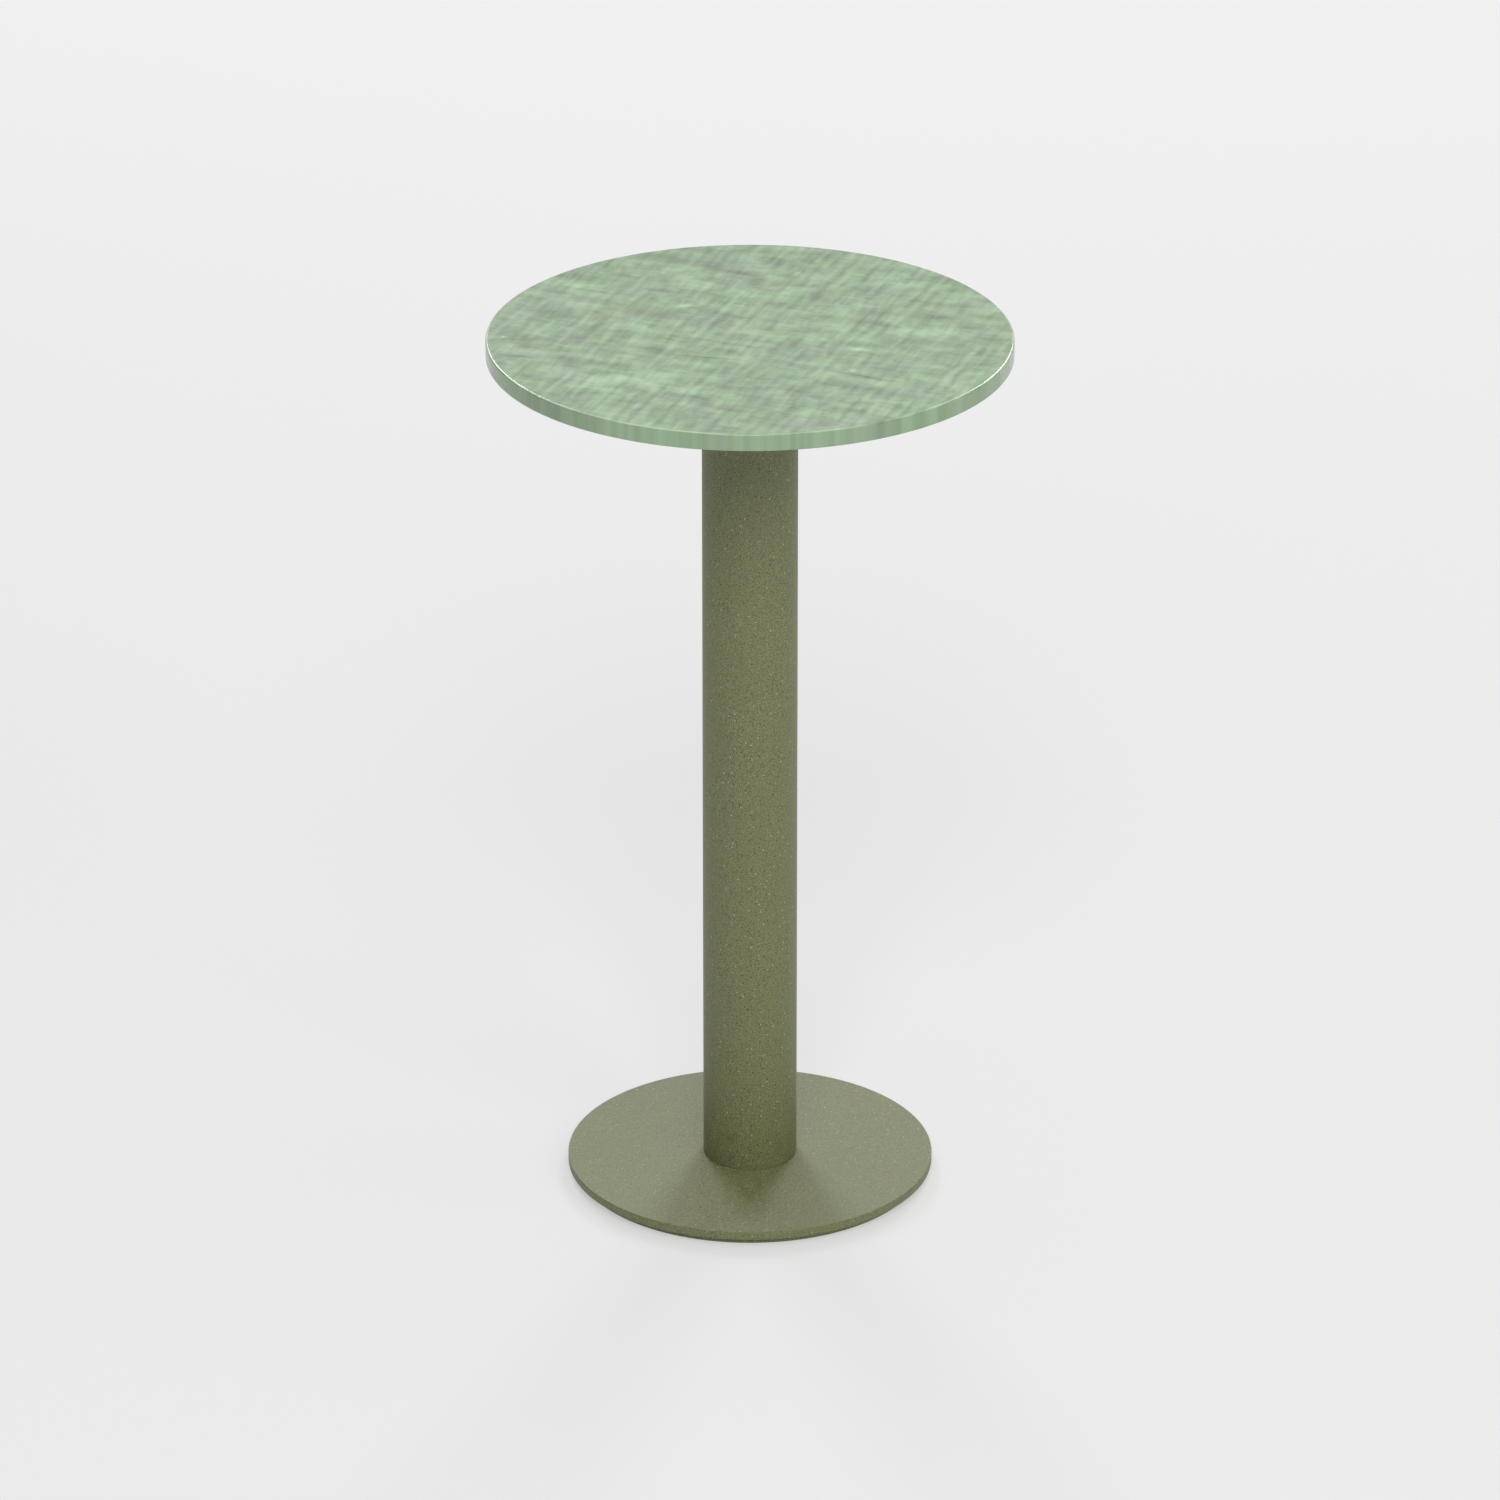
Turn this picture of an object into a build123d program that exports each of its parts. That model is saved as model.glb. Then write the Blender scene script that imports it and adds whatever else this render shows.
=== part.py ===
from build123d import *
import os

# Bar-height pedestal table with a round top, a tube column and a heavy disc base.
# Millimetres. The origin is on the floor under the middle of the table, and +Z points up.

# ---- Overall sizes ----
table_height = 1050.0
top_diameter = 600.0
top_thickness = 20.0
column_diameter = 110.0
base_diameter = 430.0

# ---- Clearances ----
spigot_clearance = 0.3      # between a spigot ring and the inside of the tube
seat_clearance = 0.05       # around a pressed, glued or screwed-in piece
running_clearance = 0.05    # around a stud that turns
axial_play = 0.2            # above and below the stud's button inside its pad
bolt_clearance = 0.5        # around a bolt that passes through a plain hole
stop_gap = 0.3              # left between a glide and its stop when it is screwed home

# ---- Tabletop and the plate that carries it ----
top_arris = 2.5             # rounding of the upper edge
top_lower_break = 0.5
top_plate_diameter = 300.0
top_plate_thickness = 5.0
gasket_thickness = 1.0
gasket_margin = 3.0         # the plate shows this far outside its gasket
top_screw_circle = 250.0
top_screw_count = 6
top_screw_thread = 6.0
top_screw_length = 16.0
top_screw_head_diameter = 10.5
top_screw_head_height = 3.3
top_screw_socket = 4.0      # across flats
top_screw_socket_depth = 2.0
top_washer_diameter = 14.0
top_washer_thickness = 1.6
insert_diameter = 10.0
insert_length = 12.0

# ---- Column and the rod that clamps it ----
column_wall = 3.0
spigot_wall = 4.0
top_spigot_height = 20.0
base_spigot_height = 15.0
spigot_lead = 1.0           # chamfer that guides the tube over its spigot
tie_rod_diameter = 12.0
tie_rod_tip = 1.0           # chamfer on each end of the rod
tie_rod_end_gap = 4.0       # from the rod's upper end to the top plate
hex_ratio = 1.6             # a nut's width across flats over its thread
coupling_nut_length = 30.0
thin_nut_height = 6.0
spreader_diameter = 40.0
spreader_thickness = 2.5
washer_seat_depth = 1.5     # counterbore in the base plate that holds the spreader washer
nut_recess_room = 5.0       # around the spreader washer

# ---- Base ----
base_plate_thickness = 10.0
plinth_height = 10.0        # from the floor to the underside of the base plate
plinth_inset = 10.0         # the plinth stands back from the rim by this much
floor_gap = 1.0             # under the plinth with the glides screwed home
edge_break = 0.5
blind_skin = 2.0            # steel left above the blind holes of the base plate
plinth_screw_circle = 240.0
plinth_screw_count = 4
plinth_screw_thread = 8.0
plinth_screw_head_diameter = 15.8
plinth_screw_sink = 0.3     # the head lies this far inside the underside
plinth_screw_socket = 5.0
plinth_screw_socket_depth = 3.0
screw_tip_gap = 0.7         # between a screw's end and the bottom of its hole

# ---- Levelling glides ----
glide_count = 4
glide_edge_margin = 40.0    # from the plinth's edge to a glide's axis
pocket_room = 2.0           # around the pad inside its pocket
pad_diameter = 36.0
pad_lift = 0.8              # underside of the pad's rim above the floor
pad_floor = 0.6             # pad between the sole and the socket
pad_edge = 0.8
sole_diameter = 31.0
sole_thickness = 2.0
sole_edge = 0.3
key_hole_diameter = 9.0     # lets a key through the sole and the pad
stud_thread = 10.0
button_diameter = 14.0
button_height = 1.4
throat_height = 0.8
shoulder_diameter = 16.0
shoulder_height = 1.0
stud_socket = 5.0
stud_socket_depth = 4.0
stud_tip_gap = 0.7          # from the stud's end to the bottom of its hole
bush_diameter = 14.0
bush_tip_gap = 0.2

# ---- Levels, from the floor up ----
base_plate_bottom = plinth_height
base_plate_top = base_plate_bottom + base_plate_thickness
blind_hole_end = base_plate_top - blind_skin
top_underside = table_height - top_thickness
top_plate_top = top_underside - gasket_thickness
top_plate_bottom = top_plate_top - top_plate_thickness
column_length = top_plate_bottom - base_plate_top
washer_seat = base_plate_bottom + washer_seat_depth
washer_bottom = washer_seat - spreader_thickness
tie_nut_bottom = washer_bottom - thin_nut_height
tie_rod_end = top_plate_bottom - tie_rod_end_gap

# ---- Radii that several pieces share ----
plinth_radius = base_diameter / 2 - plinth_inset
column_bore_radius = column_diameter / 2 - column_wall
spigot_radius = column_bore_radius - spigot_clearance
tie_rod_radius = tie_rod_diameter / 2
tie_rod_hole_radius = tie_rod_radius + bolt_clearance
tie_rod_nut_bore = tie_rod_radius + seat_clearance
glide_circle_radius = plinth_radius - glide_edge_margin
glide_start_angle = 180 / glide_count
plinth_screw_hole_radius = plinth_screw_thread / 2 + seat_clearance
bush_hole_radius = bush_diameter / 2 + seat_clearance

# ---- Levels inside a glide that is screwed home ----
socket_bottom = sole_thickness + pad_floor
button_bottom = socket_bottom + axial_play
button_top = button_bottom + button_height
socket_top = button_top + axial_play
pad_top = socket_top + throat_height
shoulder_bottom = pad_top + stop_gap
shoulder_top = shoulder_bottom + shoulder_height
pocket_ceiling = shoulder_top + stop_gap
stud_end = blind_hole_end - stud_tip_gap
bush_end = blind_hole_end - bush_tip_gap

os.makedirs("parts", exist_ok=True)


def save(piece, name):
    """Label one finished sub-part and write its STEP file."""
    piece.label = name
    export_step(piece, f"parts/{name}.step")


# ==== Tabletop ====

with BuildPart() as table_top:
    with BuildSketch(Plane.XY.offset(top_underside)):
        Circle(top_diameter / 2)
    extrude(amount=top_thickness)
    rims = table_top.edges().filter_by(GeomType.CIRCLE).sort_by(Axis.Z)
    fillet(rims[-1], top_arris)
    chamfer(rims[0], top_lower_break)
    with BuildSketch(Plane.XY.offset(top_underside)):
        with PolarLocations(top_screw_circle / 2, top_screw_count):
            Circle(insert_diameter / 2 + seat_clearance)
    extrude(amount=insert_length, mode=Mode.SUBTRACT)
save(table_top.part, "table_top")

# Threaded inserts, set flush in the underside of the top
with BuildPart() as top_inserts:
    with BuildSketch(Plane.XY.offset(top_underside)):
        with PolarLocations(top_screw_circle / 2, top_screw_count):
            Circle(insert_diameter / 2)
            Circle(top_screw_thread / 2 + seat_clearance, mode=Mode.SUBTRACT)
    extrude(amount=insert_length - seat_clearance)
save(top_inserts.part, "top_inserts")

# Soft sheet that keeps the steel plate from fretting the top
with BuildPart() as top_gasket:
    with BuildSketch(Plane.XY.offset(top_plate_top)):
        Circle(top_plate_diameter / 2 - gasket_margin)
        with PolarLocations(top_screw_circle / 2, top_screw_count):
            Circle(top_screw_thread / 2 + bolt_clearance, mode=Mode.SUBTRACT)
    extrude(amount=gasket_thickness)
save(top_gasket.part, "top_gasket")

with BuildPart() as top_plate:
    with BuildSketch(Plane.XY.offset(top_plate_bottom)):
        Circle(top_plate_diameter / 2)
        with PolarLocations(top_screw_circle / 2, top_screw_count):
            Circle(top_screw_thread / 2 + bolt_clearance, mode=Mode.SUBTRACT)
    extrude(amount=top_plate_thickness)
    outer_rims = top_plate.edges().filter_by(GeomType.CIRCLE).group_by(SortBy.RADIUS)[-1]
    chamfer(outer_rims, edge_break)
save(top_plate.part, "top_plate")

with BuildPart() as top_screw_washers:
    with BuildSketch(Plane.XY.offset(top_plate_bottom - top_washer_thickness)):
        with PolarLocations(top_screw_circle / 2, top_screw_count):
            Circle(top_washer_diameter / 2)
            Circle(top_screw_thread / 2 + seat_clearance, mode=Mode.SUBTRACT)
    extrude(amount=top_washer_thickness)
save(top_screw_washers.part, "top_screw_washers")

# Button-head screws, driven up from below
top_screw_seat = top_plate_bottom - top_washer_thickness
top_screw_head_bottom = top_screw_seat - top_screw_head_height
with BuildPart() as top_screws:
    with BuildSketch(Plane.XY.offset(top_screw_head_bottom)):
        with PolarLocations(top_screw_circle / 2, top_screw_count):
            Circle(top_screw_head_diameter / 2)
    extrude(amount=top_screw_head_height)
    head_rims = top_screws.edges().group_by(Axis.Z)[0]
    fillet(head_rims, top_screw_head_height * 0.6)
    with BuildSketch(Plane.XY.offset(top_screw_seat)):
        with PolarLocations(top_screw_circle / 2, top_screw_count):
            Circle(top_screw_thread / 2)
    extrude(amount=top_screw_length)
    with BuildSketch(Plane.XY.offset(top_screw_head_bottom)):
        with PolarLocations(top_screw_circle / 2, top_screw_count):
            RegularPolygon(top_screw_socket / 2, 6, major_radius=False)
    extrude(amount=top_screw_socket_depth, mode=Mode.SUBTRACT)
save(top_screws.part, "top_screws")

# Ring welded under the plate, which centres the column
with BuildPart() as top_spigot:
    with BuildSketch(Plane.XY.offset(top_plate_bottom)):
        Circle(spigot_radius)
        Circle(spigot_radius - spigot_wall, mode=Mode.SUBTRACT)
    extrude(amount=-top_spigot_height)
    lower_rims = top_spigot.edges().group_by(Axis.Z)[0]
    chamfer(lower_rims.sort_by(SortBy.RADIUS)[-1], spigot_lead)
save(top_spigot.part, "top_spigot")

# Long nut welded under the plate, which takes the tie rod
with BuildPart() as coupling_nut:
    with BuildSketch(Plane.XY.offset(top_plate_bottom)):
        RegularPolygon(tie_rod_diameter * hex_ratio / 2, 6, major_radius=False)
        Circle(tie_rod_nut_bore, mode=Mode.SUBTRACT)
    extrude(amount=-coupling_nut_length)
save(coupling_nut.part, "coupling_nut")

# ==== Column ====

with BuildPart() as column_tube:
    with BuildSketch(Plane.XY.offset(base_plate_top)):
        Circle(column_diameter / 2)
        Circle(column_bore_radius, mode=Mode.SUBTRACT)
    extrude(amount=column_length)
save(column_tube.part, "column_tube")

with BuildPart() as tie_rod:
    with BuildSketch(Plane.XY.offset(tie_nut_bottom)):
        Circle(tie_rod_radius)
    extrude(amount=tie_rod_end - tie_nut_bottom)
    chamfer(tie_rod.edges().filter_by(GeomType.CIRCLE), tie_rod_tip)
save(tie_rod.part, "tie_rod")

with BuildPart() as tie_rod_washer:
    with BuildSketch(Plane.XY.offset(washer_bottom)):
        Circle(spreader_diameter / 2)
        Circle(tie_rod_hole_radius, mode=Mode.SUBTRACT)
    extrude(amount=spreader_thickness)
save(tie_rod_washer.part, "tie_rod_washer")

with BuildPart() as tie_rod_nut:
    with BuildSketch(Plane.XY.offset(tie_nut_bottom)):
        RegularPolygon(tie_rod_diameter * hex_ratio / 2, 6, major_radius=False)
        Circle(tie_rod_nut_bore, mode=Mode.SUBTRACT)
    extrude(amount=thin_nut_height)
save(tie_rod_nut.part, "tie_rod_nut")

# ==== Base ====

with BuildPart() as base_plate:
    with BuildSketch(Plane.XY.offset(base_plate_bottom)):
        Circle(base_diameter / 2)
        Circle(tie_rod_hole_radius, mode=Mode.SUBTRACT)
    extrude(amount=base_plate_thickness)
    outer_rims = base_plate.edges().filter_by(GeomType.CIRCLE).group_by(SortBy.RADIUS)[-1]
    fillet(outer_rims, edge_break)
    with BuildSketch(Plane.XY.offset(base_plate_bottom)):
        with PolarLocations(plinth_screw_circle / 2, plinth_screw_count):
            Circle(plinth_screw_hole_radius)
        with PolarLocations(glide_circle_radius, glide_count, glide_start_angle):
            Circle(bush_hole_radius)
    extrude(amount=blind_hole_end - base_plate_bottom, mode=Mode.SUBTRACT)
    with BuildSketch(Plane.XY.offset(base_plate_bottom)):
        Circle(spreader_diameter / 2 + seat_clearance)
    extrude(amount=washer_seat_depth, mode=Mode.SUBTRACT)
save(base_plate.part, "base_plate")

# Ring welded on the base plate, which centres the column's foot
with BuildPart() as base_spigot:
    with BuildSketch(Plane.XY.offset(base_plate_top)):
        Circle(spigot_radius)
        Circle(spigot_radius - spigot_wall, mode=Mode.SUBTRACT)
    extrude(amount=base_spigot_height)
    upper_rims = base_spigot.edges().group_by(Axis.Z)[-1]
    chamfer(upper_rims.sort_by(SortBy.RADIUS)[-1], spigot_lead)
save(base_spigot.part, "base_spigot")

# Ballast disc that stands back under the rim and leaves a shadow gap
screw_head_bottom = floor_gap + plinth_screw_sink
screw_head_cone = (plinth_screw_head_diameter - plinth_screw_thread) / 2
screw_head_slope = 45.0
with BuildPart() as base_plinth:
    with BuildSketch(Plane.XY.offset(floor_gap)):
        Circle(plinth_radius)
        Circle(spreader_diameter / 2 + nut_recess_room, mode=Mode.SUBTRACT)
        with PolarLocations(plinth_screw_circle / 2, plinth_screw_count):
            Circle(plinth_screw_hole_radius, mode=Mode.SUBTRACT)
        with PolarLocations(glide_circle_radius, glide_count, glide_start_angle):
            Circle(bush_hole_radius, mode=Mode.SUBTRACT)
    extrude(amount=plinth_height - floor_gap)
    outer_rims = base_plinth.edges().filter_by(GeomType.CIRCLE).group_by(SortBy.RADIUS)[-1]
    fillet(outer_rims, edge_break)
    with BuildSketch(Plane.XY.offset(floor_gap)):
        with PolarLocations(plinth_screw_circle / 2, plinth_screw_count):
            Circle(plinth_screw_head_diameter / 2 + plinth_screw_sink + seat_clearance)
    countersink_depth = plinth_screw_sink + screw_head_cone
    extrude(amount=countersink_depth, taper=screw_head_slope, mode=Mode.SUBTRACT)
    with BuildSketch(Plane.XY.offset(floor_gap)):
        with PolarLocations(glide_circle_radius, glide_count, glide_start_angle):
            Circle(pad_diameter / 2 + pocket_room)
    extrude(amount=pocket_ceiling - floor_gap, mode=Mode.SUBTRACT)
save(base_plinth.part, "base_plinth")

# Countersunk screws that hold the plinth to the base plate
with BuildPart() as plinth_screws:
    with BuildSketch(Plane.XY.offset(screw_head_bottom)):
        with PolarLocations(plinth_screw_circle / 2, plinth_screw_count):
            Circle(plinth_screw_thread / 2)
    extrude(amount=blind_hole_end - screw_tip_gap - screw_head_bottom)
    with BuildSketch(Plane.XY.offset(screw_head_bottom)):
        with PolarLocations(plinth_screw_circle / 2, plinth_screw_count):
            Circle(plinth_screw_head_diameter / 2)
    extrude(amount=screw_head_cone, taper=screw_head_slope)
    with BuildSketch(Plane.XY.offset(screw_head_bottom)):
        with PolarLocations(plinth_screw_circle / 2, plinth_screw_count):
            RegularPolygon(plinth_screw_socket / 2, 6, major_radius=False)
    extrude(amount=plinth_screw_socket_depth, mode=Mode.SUBTRACT)
save(plinth_screws.part, "plinth_screws")

# ==== Levelling glides ====

# Threaded bushes pressed into the base, one over each glide
with BuildPart() as glide_bushes:
    with BuildSketch(Plane.XY.offset(pocket_ceiling)):
        with PolarLocations(glide_circle_radius, glide_count, glide_start_angle):
            Circle(bush_diameter / 2)
            Circle(stud_thread / 2 + running_clearance, mode=Mode.SUBTRACT)
    extrude(amount=bush_end - pocket_ceiling)
save(glide_bushes.part, "glide_bushes")

glide_spots = PolarLocations(glide_circle_radius, glide_count, glide_start_angle)
for number, spot in enumerate(glide_spots.locations, start=1):
    glide_floor = Plane(origin=spot.position)

    # Soft disc that touches the floor
    with BuildPart() as glide_sole:
        with BuildSketch(glide_floor):
            Circle(sole_diameter / 2)
            Circle(key_hole_diameter / 2, mode=Mode.SUBTRACT)
        extrude(amount=sole_thickness)
        floor_rims = glide_sole.edges().group_by(Axis.Z)[0]
        fillet(floor_rims.sort_by(SortBy.RADIUS)[-1], sole_edge)
    save(glide_sole.part, f"glide_sole_{number}")

    # Moulded pad: the sole below, a snap socket for the stud above
    with BuildPart() as glide_pad:
        with BuildSketch(glide_floor.offset(pad_lift)):
            Circle(pad_diameter / 2)
            Circle(key_hole_diameter / 2, mode=Mode.SUBTRACT)
        extrude(amount=pad_top - pad_lift)
        outer_rims = glide_pad.edges().filter_by(GeomType.CIRCLE).group_by(SortBy.RADIUS)[-1]
        fillet(outer_rims, pad_edge)
        with BuildSketch(glide_floor.offset(pad_lift)):
            Circle(sole_diameter / 2 + seat_clearance)
        extrude(amount=sole_thickness - pad_lift, mode=Mode.SUBTRACT)
        with BuildSketch(glide_floor.offset(socket_bottom)):
            Circle(button_diameter / 2 + running_clearance)
        extrude(amount=socket_top - socket_bottom, mode=Mode.SUBTRACT)
        with BuildSketch(glide_floor.offset(socket_top)):
            Circle(stud_thread / 2 + running_clearance)
        extrude(amount=throat_height, mode=Mode.SUBTRACT)
    save(glide_pad.part, f"glide_pad_{number}")

    # Threaded stud: button, shoulder and a hexagon socket for the key
    with BuildPart() as glide_stud:
        with BuildSketch(glide_floor.offset(button_bottom)):
            Circle(button_diameter / 2)
        extrude(amount=button_height)
        with BuildSketch(glide_floor.offset(shoulder_bottom)):
            Circle(shoulder_diameter / 2)
        extrude(amount=shoulder_height)
        with BuildSketch(glide_floor.offset(button_bottom)):
            Circle(stud_thread / 2)
        extrude(amount=stud_end - button_bottom)
        with BuildSketch(glide_floor.offset(button_bottom)):
            RegularPolygon(stud_socket / 2, 6, major_radius=False)
        extrude(amount=stud_socket_depth, mode=Mode.SUBTRACT)
    save(glide_stud.part, f"glide_stud_{number}")
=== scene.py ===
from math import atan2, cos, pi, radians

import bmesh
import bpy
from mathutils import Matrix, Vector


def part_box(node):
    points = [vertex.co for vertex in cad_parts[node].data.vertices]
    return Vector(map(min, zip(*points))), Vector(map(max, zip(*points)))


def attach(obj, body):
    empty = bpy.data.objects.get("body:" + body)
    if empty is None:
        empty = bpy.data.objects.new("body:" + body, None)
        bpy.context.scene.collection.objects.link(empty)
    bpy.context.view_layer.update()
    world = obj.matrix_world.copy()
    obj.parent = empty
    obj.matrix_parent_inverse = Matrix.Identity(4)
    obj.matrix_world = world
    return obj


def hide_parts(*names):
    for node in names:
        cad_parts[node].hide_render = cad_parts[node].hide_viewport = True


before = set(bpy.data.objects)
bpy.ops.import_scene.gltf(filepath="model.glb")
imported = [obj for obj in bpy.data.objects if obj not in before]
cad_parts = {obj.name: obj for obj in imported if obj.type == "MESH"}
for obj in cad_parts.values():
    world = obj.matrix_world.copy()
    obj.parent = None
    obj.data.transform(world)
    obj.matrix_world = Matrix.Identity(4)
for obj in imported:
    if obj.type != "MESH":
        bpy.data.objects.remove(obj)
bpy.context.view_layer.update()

# %% [markdown]
# # A bar-height pedestal table
#
# A round green top stands on one olive tube and a heavy olive disc. The real table is a handful of
# simple turned shapes, so almost all of its character is in its finishes: a pressed textile board
# under clear resin, and a powder coat with a fine grain. The imported model already holds every size,
# place and joint, and this lesson adds the looks around it.
#
# We first count the imported parts.

mm = 0.001
print("nodes:", len(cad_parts))


# %% [markdown]
# ## Small helpers
#
# Paint charts and screens give colours as sRGB hex values, while a shader mixes light in linear
# values, so one function turns the first into the second. A second function adds a shader node, its
# settings and its inputs, so that each finish below reads as a list of what it is made of. A third
# lets a pattern choose between two colours, which is how every finish here gets its variation.

# %% Colours and nodes
def linear(hex_colour):
    """An sRGB hex colour as the linear colour that shaders use."""
    channels = [int(hex_colour[i:i + 2], 16) / 255 for i in (1, 3, 5)]
    light = [c / 12.92 if c <= 0.04045 else ((c + 0.055) / 1.055) ** 2.4 for c in channels]
    return (*light, 1.0)


def add(tree, kind, inputs=None, **settings):
    """Add a node, with its settings, and with each input linked to a socket or set to a value."""
    node = tree.nodes.new(kind)
    for name, value in settings.items():
        setattr(node, name, value)
    for name, value in (inputs or {}).items():
        if isinstance(value, bpy.types.NodeSocket):
            tree.links.new(value, node.inputs[name])
        else:
            node.inputs[name].default_value = value
    return node


def new_finish(name, **surface):
    """A material with one main shader. Values that are the same all over go on its own sockets."""
    material = bpy.data.materials.new(name)
    material.use_nodes = True
    tree = material.node_tree
    tree.nodes.clear()
    shader = add(tree, "ShaderNodeBsdfPrincipled")
    for socket, value in surface.items():
        shader.inputs[socket.replace("_", " ")].default_value = value
    add(tree, "ShaderNodeOutputMaterial", {"Surface": shader.outputs["BSDF"]})
    return material, tree, shader


def blend(tree, share, low, high, first, second, most=1.0):
    """Mix two colours by a share: all first at low, and up to most of second at high."""
    spread = add(tree, "ShaderNodeMapRange", {
        "Value": share, "From Min": low, "From Max": high, "To Max": most})
    return add(tree, "ShaderNodeMix", {0: spread.outputs[0], 6: first, 7: second},
               data_type="RGBA").outputs[2]


# Nearly all the values of a noise pattern lie between these two.
noise_low = 0.35
noise_high = 0.65
print("olive in linear light:", [round(c, 3) for c in linear("#7d8064")])

# %% [markdown]
# ## Camera
#
# The table is seen from well back through a long lens, as in a furniture catalogue, because a short
# lens up close would swell the top and shrink the base. The camera stands about 4.4 m up, 8.6 m in
# front of the table, and looks down at 24 degrees.

# %% Camera
camera_place = (0.0, -8.6406, 4.371)
look_down = 23.927      # degrees below level
camera_data = bpy.data.cameras.new("camera")
camera_data.sensor_width = 36.0
camera_data.lens = 195.74
camera_data.clip_end = 200.0
camera = bpy.data.objects.new("camera", camera_data)
camera.location = camera_place
camera.rotation_euler = (radians(90 - look_down), 0, 0)
bpy.context.scene.collection.objects.link(camera)
bpy.context.scene.camera = camera
bpy.context.scene.view_settings.view_transform = "Standard"
print("lens:", round(camera_data.lens, 2), "mm, looking down by", look_down, "degrees")

# %% [markdown]
# ## Floor
#
# The studio floor is a very large matt disc. A curved backdrop would hide its edge from one side
# only, while this edge is so far away that no seam shows whichever way the camera turns. It is a lit
# floor: a part of its brightness is its own, so that shadows on it stay faint. That part grows far
# from the table, where the lamps don't reach, so that the floor meets the backdrop in one tone.

# %% Floor
floor_radius = 60.0
lamps_fade = 5.0        # metres from the table, where the floor's own light starts to grow
lamps_end = 13.0
own_light_near = 0.55
own_light_far = 0.82
bm = bmesh.new()
bmesh.ops.create_circle(bm, cap_ends=True, segments=96, radius=floor_radius)
floor_mesh = bpy.data.meshes.new("studio_floor")
bm.to_mesh(floor_mesh)
bm.free()
floor = bpy.data.objects.new("studio_floor", floor_mesh)
bpy.context.scene.collection.objects.link(floor)
floor_paint, tree, shader = new_finish(
    "matt_white_lit_studio_floor", Base_Color=linear("#9d9d9d"), Roughness=0.9, Specular_IOR_Level=0.1,
    Emission_Color=linear("#ebebeb"))
floor_place = add(tree, "ShaderNodeTexCoord").outputs["Object"]
distance = add(tree, "ShaderNodeVectorMath", {0: floor_place}, operation="LENGTH").outputs["Value"]
own_light = add(tree, "ShaderNodeMapRange", {
    "Value": distance, "From Min": lamps_fade, "From Max": lamps_end,
    "To Min": own_light_near, "To Max": own_light_far}, interpolation_type="SMOOTHSTEP")
tree.links.new(own_light.outputs[0], shader.inputs["Emission Strength"])
floor.data.materials.append(floor_paint)
print("floor radius:", floor_radius, "m")

# %% [markdown]
# ## Light
#
# The table stands in a bright, even studio. Much of the light comes from the world itself, which is
# brightest overhead and bright behind, as under a white ceiling. An image of a real studio could
# light it too, but two soft glows are enough for matt paint and cloth. What the camera sees past the
# floor is one plain pale tone.

# %% World
sky_strength = 0.86
behind_strength = 0.72
world = bpy.data.worlds.new("studio")
bpy.context.scene.world = world
world.use_nodes = True
tree = world.node_tree
tree.nodes.clear()
direction = add(tree, "ShaderNodeTexCoord").outputs["Generated"]


def glow_towards(axis, strength):
    """Light that is brightest towards axis, and falls to none a quarter turn away."""
    facing = add(tree, "ShaderNodeVectorMath", {0: direction, 1: axis}, operation="DOT_PRODUCT")
    facing = add(tree, "ShaderNodeMath", {0: facing.outputs["Value"], 1: 0.0}, operation="MAXIMUM")
    facing = add(tree, "ShaderNodeMath", {0: facing.outputs[0], 1: 2.0}, operation="POWER")
    return add(tree, "ShaderNodeMath", {0: facing.outputs[0], 1: strength}, operation="MULTIPLY")


above = glow_towards((0, 0, 1), sky_strength)
behind = glow_towards((0, 1, 0), behind_strength)
glow = add(tree, "ShaderNodeMath", {0: above.outputs[0], 1: behind.outputs[0]}, operation="ADD")
studio_light = add(tree, "ShaderNodeBackground", {"Strength": glow.outputs[0]})
backdrop = add(tree, "ShaderNodeBackground", {"Color": linear("#ebebeb"), "Strength": 1.0})
seen = add(tree, "ShaderNodeLightPath").outputs["Is Camera Ray"]
both = add(tree, "ShaderNodeMixShader", {0: seen, 1: studio_light.outputs[0], 2: backdrop.outputs[0]})
add(tree, "ShaderNodeOutputWorld", {"Surface": both.outputs[0]})
print("above:", sky_strength, "behind:", behind_strength)

# %% [markdown]
# Large soft panels stand well back, so that the floor is lit evenly. Two of them, behind the table to
# its left and right, cast the forked shadow in front of the column's foot, and the one in front puts
# the top's shadow on the column. Area lights give these soft edges, which point lights wouldn't.

# %% Soft panels
aim_at = Vector((0, 0, 0.6))
panels = {
    # place and width in metres, power in watts
    "front": ((0.0, -9.0, 8.4), 5.0, 700.0),
    "front_right": ((6.4, -7.2, 5.6), 5.0, 230.0),
    "right": ((9.0, 0.0, 4.4), 5.0, 75.0),
    "behind_left": ((-2.9, 8.4, 6.0), 2.6, 256.0),
    "behind_right": ((2.9, 8.4, 6.0), 2.6, 270.0),
}
for name, (place, width, power) in panels.items():
    panel = bpy.data.lights.new(f"panel_{name}", "AREA")
    panel.size = width
    panel.energy = power
    stand = bpy.data.objects.new(f"panel_{name}", panel)
    stand.location = place
    stand.visible_camera = False
    aim = aim_at - Vector(place)
    stand.rotation_euler = aim.to_track_quat("-Z", "Y").to_euler()
    bpy.context.scene.collection.objects.link(stand)
    print(f"panel {name}: {width} m wide, {power} W")

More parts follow.
